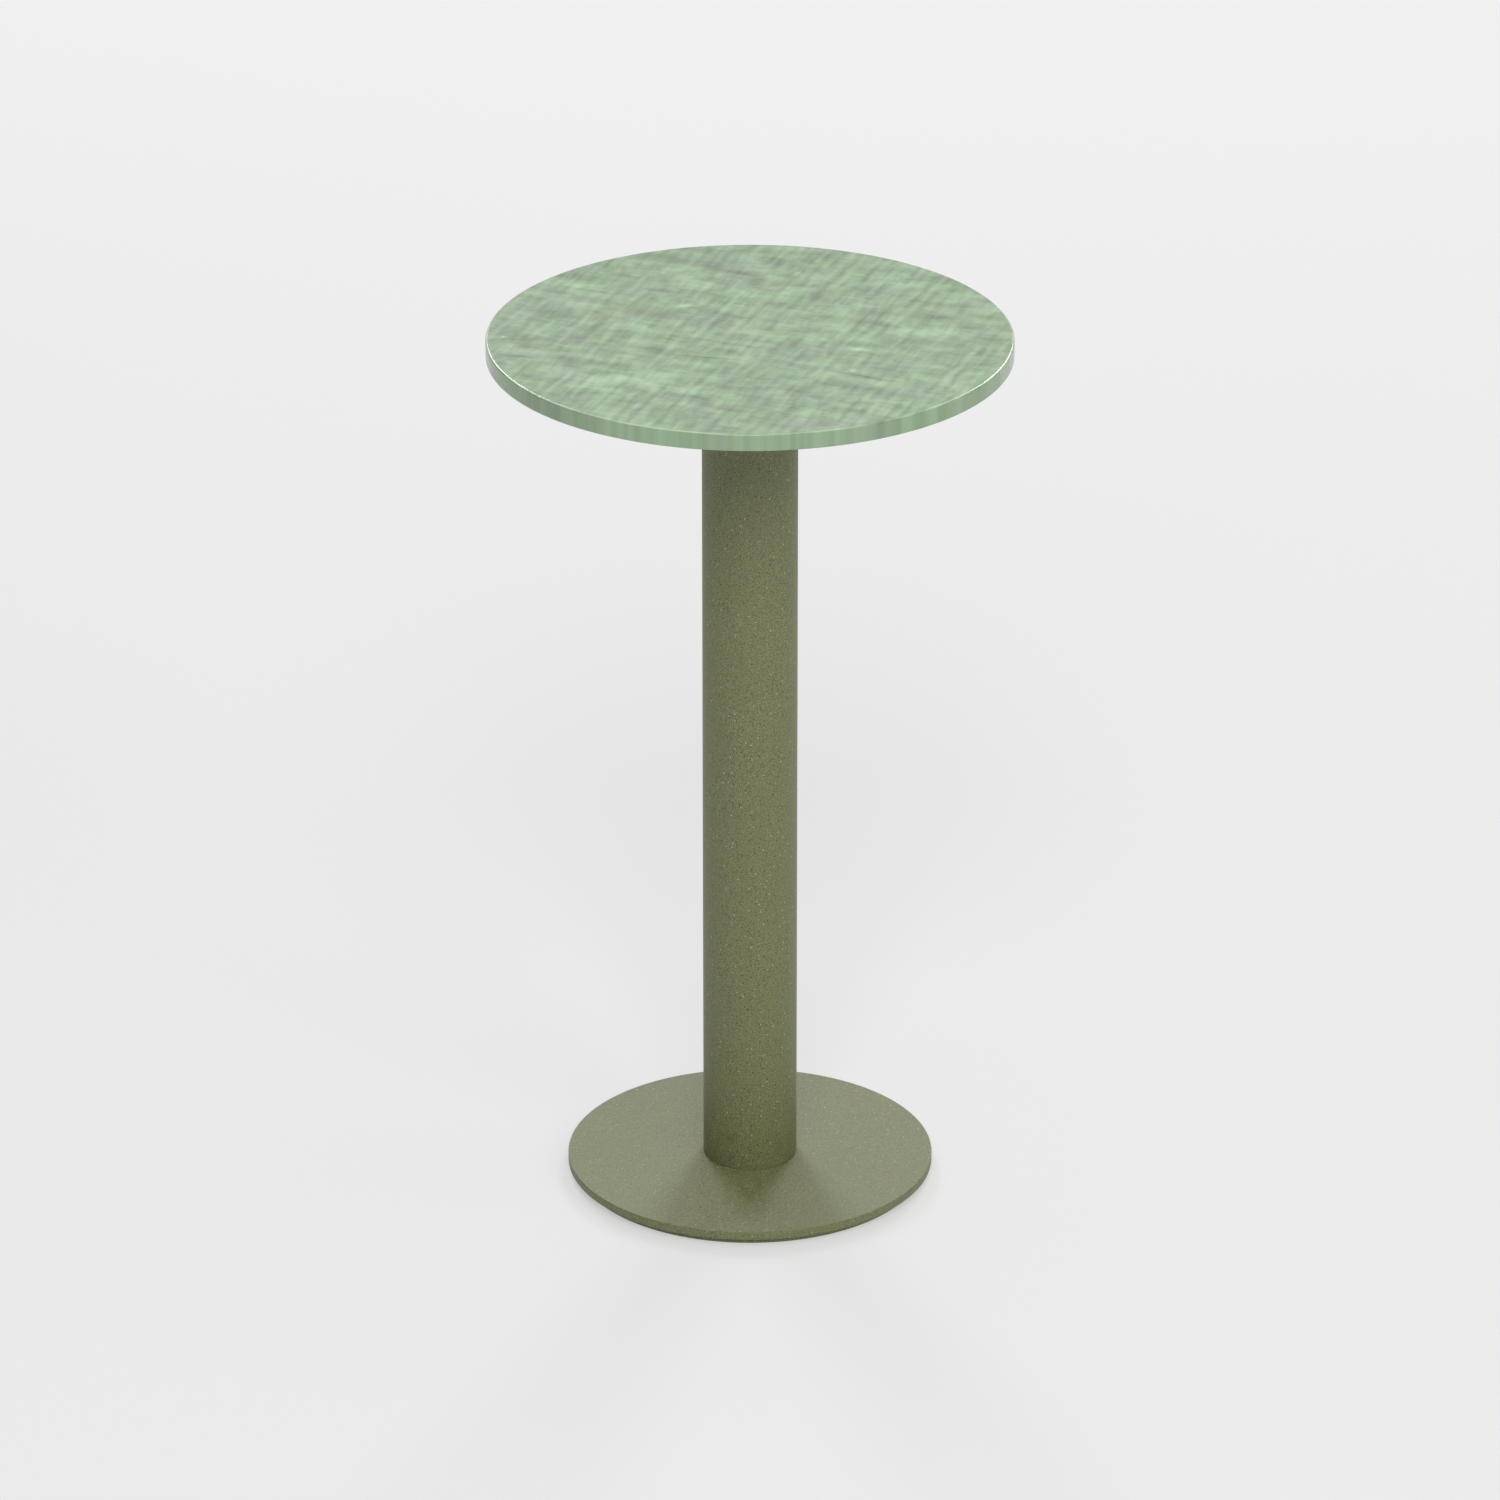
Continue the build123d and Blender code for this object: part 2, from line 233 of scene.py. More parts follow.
# %% [markdown]
# ## Finish: fine-texture powder coat
#
# The column and base are steel under a polyester powder coat. The powder is sprayed on dry and
# melts into a skin of fine hard grains, so the colour looks matt from the front, breaks into tiny
# light and dark specks, and brightens where light grazes it. The grain could be real bumps in the
# mesh, but it is far too fine, so one noise drives colour, gloss and relief together. The real grain
# is under a millimetre across. It is drawn a little coarser, so that it shows from nine metres away.

# %% Powder coat
grain_width = 1.3 * mm
grain_height = 0.3 * mm
cloud_width = 70.0 * mm


def powder_coat():
    material, tree, shader = new_finish(
        "olive_fine_texture_powder_coat", IOR=1.5, Specular_IOR_Level=0.85,
        Sheen_Weight=0.03, Sheen_Roughness=0.5)
    place = add(tree, "ShaderNodeTexCoord").outputs["Object"]
    grain = add(tree, "ShaderNodeTexNoise", {
        "Vector": place, "Scale": 1 / grain_width, "Detail": 1.0}).outputs["Fac"]
    cloud = add(tree, "ShaderNodeTexNoise", {
        "Vector": place, "Scale": 1 / cloud_width, "Detail": 2.0}).outputs["Fac"]
    colour = blend(tree, grain, 0.38, 0.62, linear("#4d512d"), linear("#7e8252"))
    colour = blend(tree, cloud, 0.3, 0.7, colour, linear("#65693e"), 0.3)

    # Single round grains stand out dark and pale: how far apart, and their radius, in mm.
    for apart, radius, speck in ((6.0, 1.1, "#383b24"), (8.0, 1.0, "#a9ac8c")):
        cells = add(tree, "ShaderNodeTexVoronoi", {"Vector": place, "Scale": 1 / (apart * mm)})
        colour = blend(tree, cells.outputs["Distance"], radius / apart, 0.6 * radius / apart,
                       colour, linear(speck))

    gloss = add(tree, "ShaderNodeMapRange", {
        "Value": grain, "From Min": noise_low, "From Max": noise_high, "To Min": 0.5, "To Max": 0.68})
    relief = add(tree, "ShaderNodeBump", {"Height": grain, "Strength": 0.6, "Distance": grain_height})
    tree.links.new(colour, shader.inputs["Base Color"])
    tree.links.new(gloss.outputs[0], shader.inputs["Roughness"])
    tree.links.new(relief.outputs[0], shader.inputs["Normal"])
    return material


olive_coat = powder_coat()
print("finish:", olive_coat.name)

# %% [markdown]
# ## Finish: pressed textile board
#
# The top is a stack of green cloth offcuts, soaked in resin, pressed flat and sawn to a disc. The
# cloth shows all the way through, so its pattern is the same at every depth and runs down the edge
# as upright streaks. That is why the pattern ignores height: its coordinates have their Z set to
# zero. The threads run at about 70 degrees to the table's X axis and the cross threads about square
# to them, and a clear satin resin skin lies over both.

# %% Board colours and directions
thread_lean = 20.6      # degrees from the table's Y axis
drift_scale = 14.0      # how often the threads wander, in one metre
drift_reach = 11.0 * mm
board_green = linear("#8aa67f")
board_grey = linear("#899e84")
board_mint = linear("#92b48f")
board_moss = linear("#849f78")
board_brown = linear("#7d8b6c")
# The duller grey-green that the edge's colour is mixed towards.
board_edge_tone = linear("#899d83")
# Pale green of the painted highlight along the arris.
board_arris_highlight = linear("#bfd2b8")
rib_spacing = 15.5 * mm
thread_light = (0.215, 0.28, 0.19)      # what one unit of shade adds to red, green and blue
cloth_patches = [
    # width in mm, which part of the pattern, noise from and to, colour, strength
    (60, 0.0, 0.40, 0.62, board_grey, 1.0),
    (44, 3.1, 0.52, 0.70, board_mint, 0.9),
    (36, 6.7, 0.55, 0.72, board_moss, 0.8),
    (70, 9.3, 0.58, 0.75, board_brown, 0.6),
]
thread_layers = [
    # size across and along the threads in mm, strength
    (6.5, 28.0, 0.65),      # threads
    (24.0, 6.5, 0.55),      # cross threads
    (4.5, 10.0, 0.2),       # fine dashes
    (8.0, 120.0, 0.7),      # long threads
    (95.0, 24.0, 0.9),      # soft folds
    (32.0, 32.0, 1.1),      # round clouds
]
print("thread direction:", 90 - thread_lean, "degrees from X")

# %% [markdown]
# Offcuts differ, so the board also has marks that no pattern gives: creases, where a fold was pressed
# in, strips of brown and grey cloth, and pale tufts. Each one is a soft oval, with its place, length,
# width and direction listed, and the threads show through it.

# %% Marks in the cloth
crease_dark = linear("#66745c")
cloth_brown = linear("#737c5d")
cloth_grey = linear("#848d82")
tuft_pale = linear("#a9cba3")
marks = [
    # x, y, length and width in mm, direction in degrees, colour, strength
    (75, 129, 120, 26, 68, crease_dark, 0.8),
    (107, 205, 80, 18, 66, crease_dark, 0.5),
    (-60, 240, 210, 56, -22, crease_dark, 0.7),
    (-15, 208, 100, 34, -20, cloth_brown, 0.9),
    (30, 272, 150, 30, -4, cloth_brown, 0.6),
    (-105, 72, 150, 60, -18, cloth_brown, 0.6),
    (-170, 57, 44, 36, 10, cloth_brown, 0.8),
    (-240, 88, 110, 60, 20, cloth_grey, 0.6),
    (-272, 8, 90, 50, 70, crease_dark, 0.4),
    (272, -6, 90, 60, -80, crease_dark, 0.4),
    (60, -272, 220, 30, 8, cloth_grey, 0.6),
    (-196, -10, 100, 40, 30, cloth_grey, 0.6),
    (212, 62, 110, 44, -20, crease_dark, 0.7),
    (222, -57, 80, 40, -10, crease_dark, 0.6),
    (-20, -226, 110, 30, -25, crease_dark, 0.5),
    (-50, -64, 130, 8, -12, crease_dark, 0.8),
    (130, -124, 110, 14, -24, crease_dark, 0.8),
    (-262, -62, 80, 12, -14, crease_dark, 0.8),
    (207, 15, 170, 50, -6, tuft_pale, 0.6),
    (186, 165, 60, 40, 0, tuft_pale, 0.6),
    (-150, -140, 190, 110, 20, tuft_pale, 0.4),
    (-75, 96, 36, 20, 20, tuft_pale, 0.8),
    (54, 204, 14, 26, -20, tuft_pale, 0.9),
    (119, -41, 50, 18, -10, tuft_pale, 0.9),
    (116, -106, 16, 14, 0, tuft_pale, 0.9),
    (-279, 0, 14, 12, 0, tuft_pale, 0.9),
]
print("marks:", len(marks))

# %% [markdown]
# A painted image could copy one board, but it would stop at the edge and blur close up, so the cloth
# is mixed from patterns. They all read the same coordinates: places on the board without height,
# which wander by a few millimetres because cloth never lies quite straight, and which are then turned
# so that Y runs along the threads.

# %% How the cloth lies
def lying_cloth(tree):
    """Coordinates on the board, without height and with the cloth's own wander."""
    place = add(tree, "ShaderNodeTexCoord").outputs["Object"]
    flat = add(tree, "ShaderNodeMapping", {"Vector": place, "Scale": (1, 1, 0)}).outputs[0]
    drift = add(tree, "ShaderNodeTexNoise", {"Vector": flat, "Scale": drift_scale, "Detail": 2.0})
    drift = add(tree, "ShaderNodeVectorMath", {
        0: drift.outputs["Color"], 1: (0.5, 0.5, 0.5)}, operation="SUBTRACT")
    drift = add(tree, "ShaderNodeVectorMath", {
        0: drift.outputs[0], 1: (drift_reach, drift_reach, 0)}, operation="MULTIPLY")
    return add(tree, "ShaderNodeVectorMath", {0: flat, 1: drift.outputs[0]}, operation="ADD").outputs[0]


def streaks(tree, cloth, across, along):
    """Noise drawn out into threads, whose width across and length along are in mm."""
    stretched = add(tree, "ShaderNodeMapping", {
        "Vector": cloth, "Location": (across, -across, 0),
        "Scale": (1 / (across * mm), 1 / (along * mm), 1)})
    return add(tree, "ShaderNodeTexNoise", {
        "Vector": stretched.outputs[0], "Scale": 1.0, "Detail": 1.0}).outputs["Fac"]


def patches(tree, cloth, width, shift):
    """Soft patches of about this width in mm; shift picks another part of the pattern."""
    moved = add(tree, "ShaderNodeMapping", {"Vector": cloth, "Location": (shift, -shift, 0)})
    return add(tree, "ShaderNodeTexNoise", {
        "Vector": moved.outputs[0], "Scale": 1 / (width * mm), "Detail": 3.0,
        "Roughness": 0.6}).outputs["Fac"]


print("the cloth wanders by up to", drift_reach / mm / 2, "mm each way")

# %% [markdown]
# Soft patches give the cloth its colours. Noise that is drawn out along the threads and across them
# adds up to one shade, with even ribs that come and go. The marks are laid over both.

# %% Colours, shade and marks
def cloth_tones(tree, cloth):
    """The colours of the offcuts, one soft patch over another."""
    colour = board_green
    for width, shift, low, high, patch_colour, strength in cloth_patches:
        colour = blend(tree, patches(tree, cloth, width, shift), low, high, colour, patch_colour, strength)
    return colour


def cloth_shade(tree, cloth):
    """One shade from all the threads: above 0 is lighter than the cloth, and below is darker."""
    shade = 0.0
    for across, along, strength in thread_layers:
        layer = add(tree, "ShaderNodeMath", {
            0: streaks(tree, cloth, across, along), 1: 0.5}, operation="SUBTRACT")
        shade = add(tree, "ShaderNodeMath", {
            0: layer.outputs[0], 1: strength, 2: shade}, operation="MULTIPLY_ADD").outputs[0]
    side = add(tree, "ShaderNodeSeparateXYZ", {0: cloth}).outputs["X"]
    turns = add(tree, "ShaderNodeMath", {0: side, 1: 2 * pi / rib_spacing}, operation="MULTIPLY")
    rib = add(tree, "ShaderNodeMath", {0: turns.outputs[0]}, operation="SINE")
    depth = add(tree, "ShaderNodeMapRange", {
        "Value": patches(tree, cloth, 90, 1.7), "From Min": noise_low, "From Max": noise_high,
        "To Max": 0.15})
    return add(tree, "ShaderNodeMath", {
        0: rib.outputs[0], 1: depth.outputs[0], 2: shade}, operation="MULTIPLY_ADD").outputs[0]


def lay_marks(tree, lying, colour, shade):
    """Lay the marks over a colour. Light and dark threads break them up, so they read the shade."""
    for x, y, length, width, direction, mark_colour, strength in marks:
        oval = add(tree, "ShaderNodeMapping", {
            "Vector": lying, "Location": (x * mm, y * mm, 0), "Rotation": (0, 0, radians(direction)),
            "Scale": (length * mm / 2, width * mm / 2, 1)}, vector_type="TEXTURE")
        fading = add(tree, "ShaderNodeTexGradient", {0: oval.outputs[0]}, gradient_type="SPHERICAL")
        worn = add(tree, "ShaderNodeMath", {0: fading.outputs["Fac"], 1: 1.5, 2: shade},
                   operation="MULTIPLY_ADD")
        seen = add(tree, "ShaderNodeMath", {0: worn.outputs[0], 1: fading.outputs["Fac"]},
                   operation="MULTIPLY")
        colour = blend(tree, seen.outputs[0], 0.0, 1.0, colour, mark_colour, strength)
    return colour


print("patches:", len(cloth_patches), "thread layers:", len(thread_layers))

# %% [markdown]
# Last come the edge and the arris. Sawing smears the threads, so the edge shows them fainter than the
# face does, and its colour is mixed a little towards a duller grey-green. The rounded arris gets a
# painted highlight: a pale green, stronger in some places than in others, that stands for the light
# the resin skin reflects there. The normal's Z tells these places apart: it is 1 on the face, 0 on the
# edge, and in between on the arris.

# %% Sawn edge and painted arris highlight
def sawn_edge(tree, upward, colour, shade):
    """Put the shade on the colour, with both made duller towards the edge."""
    depth = add(tree, "ShaderNodeMapRange", {"Value": upward, "To Min": 0.45, "To Max": 1.0})
    # Towards the edge the colour is mixed a little into a duller grey-green.
    edge_tone_share = add(tree, "ShaderNodeMapRange", {"Value": upward, "To Min": 0.35, "To Max": 0.0})
    colour = add(tree, "ShaderNodeMix", {0: edge_tone_share.outputs[0], 6: colour, 7: board_edge_tone},
                 data_type="RGBA").outputs[2]
    light = add(tree, "ShaderNodeMath", {0: shade, 1: depth.outputs[0]}, operation="MULTIPLY")
    # Light and shadow on the threads are greyer than the cloth, so they are added and not multiplied.
    return add(tree, "ShaderNodeVectorMath", {
        0: light.outputs[0], 1: thread_light, 2: colour}, operation="MULTIPLY_ADD").outputs[0]


def painted_arris_highlight(tree, upward, cloth, colour):
    """Paint a pale highlight on the arris, between the edge and the face, not everywhere alike."""
    onto_edge = add(tree, "ShaderNodeMapRange", {"Value": upward, "From Min": 0.5, "From Max": 0.8})
    off_face = add(tree, "ShaderNodeMapRange", {"Value": upward, "From Min": 0.998, "From Max": 0.94})
    highlight_share = add(tree, "ShaderNodeMath", {0: onto_edge.outputs[0], 1: off_face.outputs[0]},
                 operation="MULTIPLY")
    highlight_patches = add(tree, "ShaderNodeMapRange", {
        "Value": patches(tree, cloth, 110, 4.4), "From Min": 0.42, "From Max": 0.60,
        "To Min": 0.2, "To Max": 1.0})
    highlight_share = add(tree, "ShaderNodeMath", {0: highlight_share.outputs[0], 1: highlight_patches.outputs[0]},
                 operation="MULTIPLY")
    # The pale colour is painted highlight, for the light that the resin skin reflects off the arris.
    return blend(tree, highlight_share.outputs[0], 0.0, 1.0, colour, board_arris_highlight)


# %% Pressed textile board
def textile_board():
    material, tree, shader = new_finish(
        "green_pressed_textile_board", IOR=1.5, Specular_IOR_Level=0.1, Roughness=0.5,
        Coat_Weight=0.9, Coat_Roughness=0.2, Coat_IOR=1.5)
    lying = lying_cloth(tree)
    cloth = add(tree, "ShaderNodeMapping", {
        "Vector": lying, "Rotation": (0, 0, radians(thread_lean))}).outputs[0]
    normal = add(tree, "ShaderNodeTexCoord").outputs["Normal"]
    upward = add(tree, "ShaderNodeSeparateXYZ", {0: normal}).outputs["Z"]

    shade = cloth_shade(tree, cloth)
    colour = lay_marks(tree, lying, cloth_tones(tree, cloth), shade)
    colour = sawn_edge(tree, upward, colour, shade)
    # A painted highlight along the arris is laid on last.
    colour = painted_arris_highlight(tree, upward, cloth, colour)
    tree.links.new(colour, shader.inputs["Base Color"])
    return material


board = textile_board()
print("finish:", board.name)

# %% [markdown]
# ## Finish: zinc-plated steel
#
# Screws, washers, nuts and studs are steel with a thin bright zinc plating. It is a metal, so its
# colour is in its reflections, and one even value would look like chrome. The plating dulls
# unevenly, which the cloudy roughness gives. The brass of the inserts is made in the same way.

# %% Zinc-plated steel
scuff_width = 0.4 * mm
scuff_depth = 0.02 * mm


def plated_metal(name, bright, dull, smooth, rough, cloud_width):
    """A metal finish that is cloudy between two colours and between two roughnesses."""
    material, tree, shader = new_finish(name, Metallic=1.0)
    place = add(tree, "ShaderNodeTexCoord").outputs["Object"]
    cloud = add(tree, "ShaderNodeTexNoise", {
        "Vector": place, "Scale": 1 / (cloud_width * mm), "Detail": 3.0}).outputs["Fac"]
    scuff = add(tree, "ShaderNodeTexNoise", {
        "Vector": place, "Scale": 1 / scuff_width, "Detail": 1.0}).outputs["Fac"]
    colour = blend(tree, cloud, noise_low, noise_high, linear(bright), linear(dull))
    gloss = add(tree, "ShaderNodeMapRange", {
        "Value": cloud, "From Min": noise_low, "From Max": noise_high, "To Min": smooth, "To Max": rough})
    relief = add(tree, "ShaderNodeBump", {"Height": scuff, "Strength": 0.2, "Distance": scuff_depth})
    tree.links.new(colour, shader.inputs["Base Color"])
    tree.links.new(gloss.outputs[0], shader.inputs["Roughness"])
    tree.links.new(relief.outputs[0], shader.inputs["Normal"])
    return material


zinc = plated_metal("bright_zinc_plated_steel", "#c3c6c9", "#a3a6a8", 0.24, 0.40, 6.0)
brass = plated_metal("machined_brass", "#c7a765", "#a98b50", 0.22, 0.36, 4.0)
print("finishes:", zinc.name, brass.name)

# %% [markdown]
# ## Finish: moulded nylon and rubber
#
# The glides' feet are injection-moulded nylon with a fine spark-eroded texture, and their soles and
# the gasket under the top are rubber. Neither is ever one flat tone: the mould leaves a fine matt
# relief, and the colour varies a little where the material flowed. One function makes all three,
# because only their tones, roughness and texture differ.

# %% Moulded materials
flow_width = 9.0 * mm
gloss_range = 0.08      # how far the roughness goes up and down with the texture


def moulded(name, deep, pale, roughness, texture_width, relief_height, specular):
    """A moulded plastic or rubber with a fine relief and a slightly uneven colour."""
    material, tree, shader = new_finish(name, IOR=1.5, Specular_IOR_Level=specular)
    place = add(tree, "ShaderNodeTexCoord").outputs["Object"]
    flow = add(tree, "ShaderNodeTexNoise", {
        "Vector": place, "Scale": 1 / flow_width, "Detail": 2.0}).outputs["Fac"]
    texture = add(tree, "ShaderNodeTexNoise", {
        "Vector": place, "Scale": 1 / (texture_width * mm), "Detail": 1.0}).outputs["Fac"]
    colour = blend(tree, flow, noise_low, noise_high, linear(deep), linear(pale))
    gloss = add(tree, "ShaderNodeMapRange", {
        "Value": texture, "From Min": noise_low, "From Max": noise_high,
        "To Min": roughness - gloss_range, "To Max": roughness + gloss_range})
    relief = add(tree, "ShaderNodeBump", {
        "Height": texture, "Strength": 0.5, "Distance": relief_height * mm})
    tree.links.new(colour, shader.inputs["Base Color"])
    tree.links.new(gloss.outputs[0], shader.inputs["Roughness"])
    tree.links.new(relief.outputs[0], shader.inputs["Normal"])
    return material


nylon = moulded("spark_textured_grey_nylon", "#2f3032", "#38393b", 0.45, 0.5, 0.05, 0.5)
sole_rubber = moulded("moulded_sole_rubber", "#1f1f20", "#292929", 0.75, 0.8, 0.08, 0.3)
gasket_rubber = moulded("epdm_gasket_sheet", "#242425", "#2d2d2e", 0.8, 1.2, 0.06, 0.25)
print("finishes:", nylon.name, sole_rubber.name, gasket_rubber.name)

# %% [markdown]
# ## Turning a piece
#
# Each turned part starts as an outline of radius and height, which a spin carries round the axis as
# a lathe would. A cylinder with modifiers could make the plainest ones, but an outline also holds
# steps, bores and sockets. Where a wide face meets a rounded edge there is an extra ring a little
# way in, which keeps the smoothing of the edge from spreading over the face.

# %% Turning
support = 2.0 * mm      # how far in from an edge the extra ring lies
close = 0.01 * mm       # two places nearer than this are the same place


def turned(outline, steps, closed=True):
    """Spin an outline of (radius, height) corners round Z. An open one starts and ends on the axis."""
    bm = bmesh.new()
    corners = [bm.verts.new((radius, 0, height)) for radius, height in outline]
    ends = corners[1:] + corners[:1] if closed else corners[1:]
    sides = [bm.edges.new(pair) for pair in zip(corners, ends)]
    bmesh.ops.spin(bm, geom=corners + sides, cent=(0, 0, 0), axis=(0, 0, 1), angle=2 * pi,
                   steps=steps, use_merge=True)
    bmesh.ops.remove_doubles(bm, verts=bm.verts, dist=0.001 * mm)
    bmesh.ops.recalc_face_normals(bm, faces=bm.faces)
    return bm


def round_edges(bm, width, segments, chosen):
    """Bevel the edges for which chosen(edge) is true."""
    edges = [edge for edge in bm.edges if chosen(edge)]
    bmesh.ops.bevel(bm, geom=edges, affect="EDGES", offset=width, segments=segments, profile=0.5,
                    material=-1)


def sharp(edge):
    """True at a real edge of the piece, where two faces meet at more than 30 degrees."""
    return edge.is_manifold and edge.calc_face_angle(0) > radians(30)


def outer_rim(radius):
    """A test for the sharp edges that lie at this radius or further out."""
    return lambda edge: sharp(edge) and edge.verts[0].co.xy.length > radius - close


print("extra rings:", support / mm, "mm from an edge")

# %% [markdown]
# A piece that repeats round the table is made once, moved out to its circle and copied round it.
# Holes off the middle can't be turned. They are cut with a Boolean modifier, as the drill would, and
# its result becomes the mesh.

# %% Rings of pieces, holes and placing
past = 1.0 * mm         # a drill runs this far past a face, so that it cuts clean through
smooth_below = 35.0     # degrees between two faces that are shaded as one surface


def ring_of(bm, radius, count, start=0.0):
    """Move a piece out along X, and repeat it round Z, with the first one turned by start degrees."""
    bmesh.ops.translate(bm, verts=bm.verts, vec=(radius, 0, 0))
    bmesh.ops.rotate(bm, verts=bm.verts, cent=(0, 0, 0), matrix=Matrix.Rotation(radians(start), 3, "Z"))
    first = bm.verts[:] + bm.edges[:] + bm.faces[:]
    for number in range(1, count):
        copy = bmesh.ops.duplicate(bm, geom=first)["geom"]
        moved = [item for item in copy if isinstance(item, bmesh.types.BMVert)]
        bmesh.ops.rotate(bm, verts=moved, cent=(0, 0, 0),
                         matrix=Matrix.Rotation(2 * pi * number / count, 3, "Z"))
    return bm


def as_object(name, bm):
    """Put a bmesh into a new object at the origin."""
    mesh = bpy.data.meshes.new(name)
    bm.to_mesh(mesh)
    bm.free()
    made = bpy.data.objects.new(name, mesh)
    bpy.context.scene.collection.objects.link(made)
    return made


def plain_drill(radius, start, end):
    """A round bar from one height to another."""
    return turned([(0, start), (radius, start), (radius, end), (0, end)], 48, closed=False)


def drilled(bm, *drills):
    """Take the drills away from a piece, and return what is left."""
    piece = as_object("workpiece", bm)
    tools = [as_object("drill", drill) for drill in drills]
    for tool in tools:
        cut = piece.modifiers.new("cut", "BOOLEAN")
        cut.operation = "DIFFERENCE"
        cut.solver = "EXACT"
        cut.object = tool
    shaped = piece.evaluated_get(bpy.context.evaluated_depsgraph_get())
    left = bmesh.new()
    left.from_mesh(shaped.to_mesh())
    shaped.to_mesh_clear()
    for used in [piece, *tools]:
        bpy.data.objects.remove(used)
    return left


def place_piece(name, bm, finish, node, body):
    """Make the object, smooth it, give it its finish and body, and hide the CAD node it stands for."""
    piece = as_object(name, bm)
    piece.data.materials.clear()
    piece.data.materials.append(finish)
    piece.data.shade_smooth()
    piece.data.set_sharp_from_angle(angle=radians(smooth_below))
    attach(piece, body)
    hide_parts(node)
    print(f"{name}: {len(piece.data.polygons)} faces")
    return piece


print("smooth below:", smooth_below, "degrees")

# %% [markdown]
# ## Tabletop
#
# The board is a plain disc, 20 mm thick. Its upper edge is rounded with a 2.5 mm arris, which is
# what catches the light as a thin bright line, and its lower edge is only broken. It could be turned
# like the rest, but a disc is quickly made the usual way: a circle is filled, pulled up to its
# thickness, and both rims are bevelled. Insets and two cuts round the wall make the extra rings. Six
# holes in the underside hold the brass inserts.

# %% Tabletop
low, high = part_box("table_top")
top_radius = high.x
arris = 2.5 * mm
lower_break = 0.5 * mm
top_screw_circle = 125.0 * mm
top_screw_count = 6
insert_hole = 5.05 * mm
insert_hole_depth = 12.0 * mm
bm = bmesh.new()
bmesh.ops.create_circle(bm, cap_ends=True, segments=384, radius=top_radius)
bmesh.ops.translate(bm, verts=bm.verts, vec=(0, 0, low.z))
raised = bmesh.ops.extrude_face_region(bm, geom=bm.faces[:])
raised_verts = [item for item in raised["geom"] if isinstance(item, bmesh.types.BMVert)]
bmesh.ops.translate(bm, verts=raised_verts, vec=(0, 0, high.z - low.z))
bmesh.ops.recalc_face_normals(bm, faces=bm.faces)
middle = (low.z + high.z) / 2
round_edges(bm, arris, 6, lambda edge: sharp(edge) and edge.verts[0].co.z > middle)
round_edges(bm, lower_break, 2, lambda edge: sharp(edge) and edge.verts[0].co.z < middle)
flats = [face for face in bm.faces if len(face.verts) > 8]
bmesh.ops.inset_individual(bm, faces=flats, thickness=support)
for height in (low.z + lower_break + support, high.z - arris - support):
    whole = bm.verts[:] + bm.edges[:] + bm.faces[:]
    bmesh.ops.bisect_plane(bm, geom=whole, plane_co=(0, 0, height), plane_no=(0, 0, 1))
drill = plain_drill(insert_hole, low.z - past, low.z + insert_hole_depth)
bm = drilled(bm, ring_of(drill, top_screw_circle, top_screw_count))
place_piece("table_top_board", bm, board, "table_top", "table")

# %% [markdown]
# ## Column
#
# One straight steel tube carries everything. It is turned from a closed outline of its wall, so the
# inside is there too, which a plain cylinder wouldn't have. The saw-cut ends are just broken, so that
# the coat can hold on them.

# %% Column tube
low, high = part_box("column_tube")
column_wall = 3.0 * mm
end_break = 0.3 * mm
bore = high.x - column_wall
bm = turned([(high.x, low.z), (high.x, low.z + support), (high.x, high.z - support),
             (high.x, high.z), (bore, high.z), (bore, high.z - support),
             (bore, low.z + support), (bore, low.z)], 192)
round_edges(bm, end_break, 2, sharp)
place_piece("column", bm, olive_coat, "column_tube", "table")

# %% [markdown]
# ## Base
#
# The foot is a heavy steel disc with a slightly smaller one under it. The upper one is turned with
# the hole for the tie rod and the sunk seat for its washer. Its other holes are blind, so that its
# upper face stays whole, and they are drilled from below: four for the bushes of the glides and four
# for the screws that hold the plinth.

# %% Base plate
low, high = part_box("base_plate")
rod_hole = 6.5 * mm
washer_seat_radius = 20.05 * mm
washer_seat = low.z + 1.5 * mm
blind_skin = 2.0 * mm   # steel left above the blind holes
blind_end = high.z - blind_skin
edge_break = 0.5 * mm
glide_circle = 165.0 * mm
glide_count = 4
first_glide = 45.0      # degrees from X
plinth_screw_circle = 120.0 * mm
plinth_screw_count = 4
bush_hole = 7.05 * mm
screw_hole = 4.05 * mm
bm = turned([(high.x, low.z), (high.x, high.z), (high.x - support, high.z), (rod_hole, high.z),
             (rod_hole, washer_seat), (washer_seat_radius, washer_seat), (washer_seat_radius, low.z),
             (high.x - support, low.z)], 320)
round_edges(bm, edge_break, 3, outer_rim(high.x))
bush_drill = plain_drill(bush_hole, low.z - past, blind_end)
screw_drill = plain_drill(screw_hole, low.z - past, blind_end)
bm = drilled(bm, ring_of(bush_drill, glide_circle, glide_count, first_glide),
             ring_of(screw_drill, plinth_screw_circle, plinth_screw_count))
place_piece("base_disc", bm, olive_coat, "base_plate", "table")

# %% [markdown]
# The plinth under it stands 10 mm back from the rim all round. The step is in shadow, so the disc
# seems to float just above the floor. Two stepped drills are turned and copied round it: one cuts a
# glide's pocket with the hole of its bush, and the other a screw's sunk seat with its hole.

